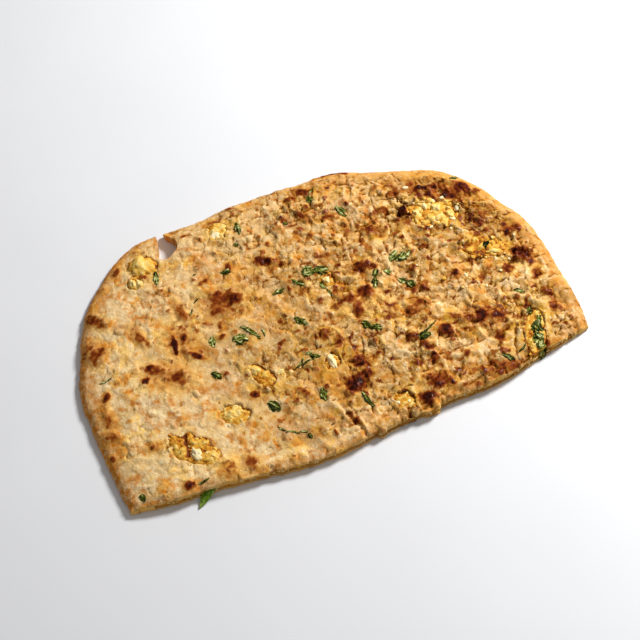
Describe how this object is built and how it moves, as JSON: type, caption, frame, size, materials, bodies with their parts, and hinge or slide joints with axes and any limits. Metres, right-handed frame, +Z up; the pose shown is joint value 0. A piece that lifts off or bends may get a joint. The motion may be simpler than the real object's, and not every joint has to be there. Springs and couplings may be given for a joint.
{
  "type": "stuffed flatbread half",
  "caption": "Half of a pan-browned wholewheat paratha stuffed with spiced cauliflower and coriander, cut straight across, lying flat.",
  "frame": {"origin": "centre of the original round bread, on its flat underside", "axes": "+Z up out of the browned face; +X along the straight cut, which faces -Y; the arc faces +Y"},
  "size_m": [0.2265, 0.1447, 0.0071],
  "materials": {
    "dough": "grainy browned dough with a little oil, not plastic",
    "filling": "moist turmeric-yellow cauliflower crumbs, not plastic",
    "coriander": "cooked green herb leaf, not plastic"
  },
  "bodies": {
    "root": {"bread": "dough", "filling": "filling", "coriander_01": "coriander", "coriander_02": "coriander", "coriander_03": "coriander", "coriander_04": "coriander", "coriander_05": "coriander", "coriander_06": "coriander", "coriander_07": "coriander", "coriander_08": "coriander", "coriander_09": "coriander", "coriander_10": "coriander", "coriander_11": "coriander", "coriander_12": "coriander", "coriander_13": "coriander", "coriander_14": "coriander", "coriander_15": "coriander", "coriander_16": "coriander", "coriander_17": "coriander", "coriander_18": "coriander", "coriander_19": "coriander", "coriander_20": "coriander", "coriander_21": "coriander", "coriander_22": "coriander", "coriander_23": "coriander", "coriander_24": "coriander", "coriander_25": "coriander", "coriander_26": "coriander", "coriander_27": "coriander", "coriander_28": "coriander", "coriander_29": "coriander"}
  },
  "joints": []
}
